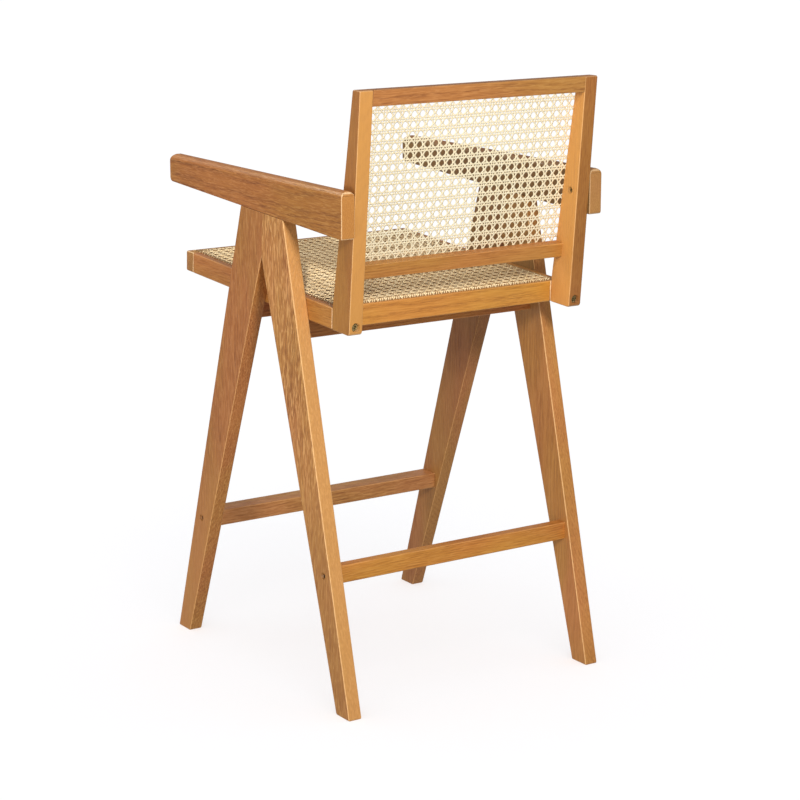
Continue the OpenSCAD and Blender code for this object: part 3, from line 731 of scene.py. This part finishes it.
    def build(self, material):
        """The weave as four pieces, its strands drawn before any tint."""
        uprights, crosswise = self.straight(0), self.straight(1)
        rising, falling = self.slanted(1), self.slanted(-1)
        self.piece(f"{self.name}_uprights", uprights, material)
        self.piece(f"{self.name}_crosswise", crosswise, material)
        self.piece(f"{self.name}_rising", rising, material)
        self.piece(f"{self.name}_falling", falling, material)


def cane_material(name, tone, darkest):
    """Split cane, blotched and flecked, each strand with a tint of its own."""
    t = Tree(name)
    place = t.node("ShaderNodeTexCoord").outputs["Object"]
    tint = t.node("ShaderNodeAttribute", attribute_name="strand").outputs["Fac"]
    blotch = t.noise(place, 38.0, 3.0, 0.6)
    fleck = t.noise(place, 900.0, 2.0, 0.6)
    shade = t.math("MULTIPLY_ADD", t.math("SUBTRACT", tint, 0.5), 0.45, 0.5)
    shade = t.math("ADD", shade, t.math("MULTIPLY", t.math("SUBTRACT", blotch, 0.5), 0.9))
    shade = t.math("ADD", shade, t.math("MULTIPLY", t.math("SUBTRACT", fleck, 0.5), 0.5), clamp=True)
    colour = t.ramp(shade, [
        (0.0, scaled(darkest, tone)),
        (0.5, scaled((0.90, 0.80, 0.56), tone)),
        (1.0, scaled((0.95, 0.90, 0.72), tone)),
    ])
    roughness = t.math("MULTIPLY_ADD", blotch, 0.2, 0.36)
    return t.finish(colour, roughness, t.bump(fleck, 0.25, 0.0002), Specular_IOR_Level=0.4)


# Two copies of one cane: the back's is painted paler, its darkest strands too, painted light for a back lit
# bright from behind; the seat's is the darker copy
BACK_CANE = cane_material("back_cane", (1.06, 1.06, 1.06), (0.91, 0.82, 0.60))
SEAT_CANE = cane_material("seat_cane", (1.0, 0.88, 0.74), (0.74, 0.58, 0.34))
BACK_ROW = 7.2 * MM                       # the lowest row of holes above the back cane's lower edge
half_back = slab_of("back_cane")[2]
back_phase = -half_back + BACK_ROW + round((half_back - BACK_ROW) / PITCH[1]) * PITCH[1]
back_weave = Panel("back_weave", "back_cane", back_phase, seed=11, tail=-1.3 * MM, rear_tail=-1.3 * MM)
seat_weave = Panel("seat_weave", "seat_cane", 0.0, seed=12, tail=-2.0 * MM, rear_tail=1.4 * MM)
back_weave.build(BACK_CANE)
seat_weave.build(SEAT_CANE)

# ------------------------------------------------------------------ small parts


def metal_material(name, dark, light, roughness, metallic=0.85):
    """Metal that is tarnished in places and finely scratched."""
    t = Tree(name)
    place = t.node("ShaderNodeTexCoord").outputs["Object"]
    tarnish = t.noise(place, 420.0, 3.0, 0.6)
    scratch = t.noise(place, 2600.0, 2.0, 0.5)
    colour = t.ramp(t.smooth(tarnish, 0.35, 0.7), [(0.0, dark), (1.0, light)])
    rough = t.math("MULTIPLY_ADD", scratch, 0.25, roughness)
    return t.finish(colour, rough, t.bump(scratch, 0.2, 0.0001), Metallic=metallic)


def plain_wood_material(name, colour, seed):
    """Unstained wood and reed, finely mottled."""
    t = Tree(name)
    place = t.node("ShaderNodeTexCoord").outputs["Object"]
    fibre = t.noise(place, 700.0, 3.0, 0.6)
    blotch = t.noise(place, 60.0 + seed, 2.0, 0.5)
    shade = t.math("MULTIPLY_ADD", fibre, 0.5, t.math("MULTIPLY", blotch, 0.5))
    mixed = t.ramp(shade, [(0.25, scaled(colour, (0.72, 0.66, 0.6))), (0.75, rgb(*colour))])
    return t.finish(mixed, t.math("MULTIPLY_ADD", blotch, 0.2, 0.4), t.bump(fibre, 0.3, 0.0002),
                    Specular_IOR_Level=0.3)


BOLT = metal_material("brass", rgb(0.05, 0.035, 0.012), rgb(0.62, 0.50, 0.22), 0.28, 0.6)
# A darker copy of the brass for the footrest and stretcher bolts, which show as dark dots
DARK_BOLT = metal_material("aged_brass", rgb(0.03, 0.022, 0.012), rgb(0.20, 0.14, 0.07), 0.32)
NUT = metal_material("zinc", rgb(0.28, 0.27, 0.25), rgb(0.55, 0.54, 0.50), 0.30)
DOWEL = plain_wood_material("dowel_beech", (0.62, 0.42, 0.22), 1)
SPLINE = plain_wood_material("spline_reed", (0.46, 0.29, 0.13), 2)
PLY = plain_wood_material("panel_ply", (0.52, 0.33, 0.15), 3)
for node, material in (
    ("stile_bolts", BOLT), ("arm_bolts", BOLT), ("footrest_bolts", DARK_BOLT), ("stretcher_bolts", DARK_BOLT),
    ("stile_barrel_nuts", NUT), ("footrest_barrel_nuts", NUT), ("stretcher_barrel_nuts", NUT),
    ("arm_threaded_inserts", NUT), ("seat_screws", NUT),
    ("armrest_dowels", DOWEL), ("back_rail_dowels", DOWEL), ("cross_rail_dowels", DOWEL),
    ("footrest_dowels", DOWEL), ("leg_joint_dowels", DOWEL), ("seat_frame_dowels", DOWEL),
    ("stretcher_dowels", DOWEL), ("back_splines", SPLINE), ("seat_splines", SPLINE),
    ("seat_support_panel", PLY),
):
    dress(node, material)

# ------------------------------------------------------------------ floor, light

floor_mesh = bpy.data.meshes.new("floor")
FLOOR_REACH = 60.0
floor_mesh.from_pydata(
    [(x * FLOOR_REACH, y * FLOOR_REACH, 0) for x, y in ((-1, -1), (1, -1), (1, 1), (-1, 1))],
    [], [(0, 1, 2, 3)])
floor = bpy.data.objects.new("floor", floor_mesh)
scene.collection.objects.link(floor)
floor.visible_diffuse = False
floor.visible_glossy = False
FLOOR_COLOUR = rgb(0.955, 0.965, 0.985)
floor_mesh.materials.append(Tree("floor").finish(FLOOR_COLOUR, 0.9, Specular_IOR_Level=0.0))


def collection(name, wanted):
    """The meshes, apart from the floor, that a light shines on."""
    group = bpy.data.collections.new(name)
    for thing in scene.objects:
        if thing.type == "MESH" and thing is not floor and wanted(thing):
            group.objects.link(thing)
    return group


# Each light shines on the pieces of one of these
shaded = [NODES["right_armrest"], NODES["right_front_leg"]]
lit_by_studio = collection("lit_by_studio", lambda thing: True)
lit_brightly = collection("lit_brightly", lambda thing: thing not in shaded)
lit_dimly = collection("lit_dimly", lambda thing: thing in shaded)
lit_by_kicker = collection("lit_by_kicker", lambda thing: thing.name == "right_back_stile")
lit_flat = collection("lit_flat", lambda thing: thing.name.startswith("back_weave"))
lit_by_key = collection("lit_by_key", lambda thing: not thing.name.startswith("back_weave"))
lit_by_spots = collection("lit_by_spots", lambda thing: thing.name.startswith("seat_weave"))
only_floor = bpy.data.collections.new("only_floor")
only_floor.objects.link(floor)

WORLD_STRENGTH = 0.40
SKY, BACKGROUND = rgb(1.0, 0.98, 0.97), rgb(0.985, 0.985, 0.985)


def studio_world():
    """A sky that lights the stool, and the background that the camera sees in its place."""
    world = bpy.data.worlds.new("studio")
    world.use_nodes = True
    new, link = world.node_tree.nodes.new, world.node_tree.links.new
    world.node_tree.nodes.clear()
    sky = new("ShaderNodeBackground")
    sky.inputs["Color"].default_value = SKY
    sky.inputs["Strength"].default_value = WORLD_STRENGTH
    seen = new("ShaderNodeBackground")
    seen.inputs["Color"].default_value = BACKGROUND
    mixer = new("ShaderNodeMixShader")
    link(new("ShaderNodeLightPath").outputs["Is Camera Ray"], mixer.inputs[0])
    link(sky.outputs[0], mixer.inputs[1])
    link(seen.outputs[0], mixer.inputs[2])
    link(mixer.outputs[0], new("ShaderNodeOutputWorld").inputs[0])
    return world


scene.world = studio_world()
SPOT_BLEND = 0.35


def add_light(name, kind, at, towards, power, receivers, colour=(1, 1, 1), size=None, cone=None,
              shadow=True):
    """An area light of that size across, a spot light with a cone in degrees, or a sun whose disk has
    that angle, at a point and turned towards another."""
    data = bpy.data.lights.new(name, kind)
    if kind == "AREA":
        data.shape = "DISK"
        data.size = size
    if kind == "SUN" and size:
        data.angle = size
    if kind == "SPOT":
        data.shadow_soft_size = size
        data.spot_size = math.radians(cone)
        data.spot_blend = SPOT_BLEND
    data.energy = power
    data.color = colour
    data.use_shadow = shadow
    light = bpy.data.objects.new(name, data)
    light.location = at
    light.rotation_euler = (Vector(towards) - Vector(at)).to_track_quat("-Z", "Y").to_euler()
    light.visible_camera = False
    light.light_linking.receiver_collection = receivers
    scene.collection.objects.link(light)


FILL_AT, FILL_COLOUR = (2.05, 0.50, 0.12), (1.0, 0.99, 0.98)
KEY_AT, KEY_COLOUR = (0.62, 2.10, 1.72), (1.0, 0.98, 0.94)
LAMP_COLOUR = (1.0, 0.98, 0.93)
add_light("key", "AREA", KEY_AT, (0, 0.1, 0.6), 41, lit_by_key, KEY_COLOUR, 0.45)
add_light("weave_key", "AREA", KEY_AT, (0, 0.1, 0.6), 38, lit_flat, KEY_COLOUR, 0.45, shadow=False)
add_light("fill", "AREA", FILL_AT, (0, 0, 0.45), 22, lit_brightly, FILL_COLOUR, 1.0)
add_light("dim_fill", "AREA", FILL_AT, (0, 0, 0.45), 9, lit_dimly, FILL_COLOUR, 1.0)
add_light("kicker", "AREA", (1.5, 1.1, 1.6), (0, 0, 0.66), 16, lit_by_kicker, LAMP_COLOUR, 0.3)
add_light("seat_spot", "SPOT", (1.3, 1.6, 1.5), (0.15, -0.10, 0.67), 180, lit_by_spots, LAMP_COLOUR,
          size=0.06, cone=9.5)
add_light("heel_spot", "SPOT", (0.9, 1.25, 1.75), (0, 0.12, 0.66), 62, lit_by_spots, LAMP_COLOUR,
          size=0.05, cone=10)
add_light("top", "AREA", (0.8, -1.0, 1.9), (0, -0.1, 0.6), 12, lit_by_studio, (1.0, 0.97, 0.90), 1.0)
add_light("wash", "SUN", (0, 0, 5), (0, 0, 0), 1.93, only_floor, shadow=False)
add_light("floor_sun", "SUN", (0.34, 0.94, 0.85), (0, 0, 0), 0.27, only_floor, size=math.radians(40))

scene.view_settings.view_transform = "Standard"
scene.view_settings.look = "None"
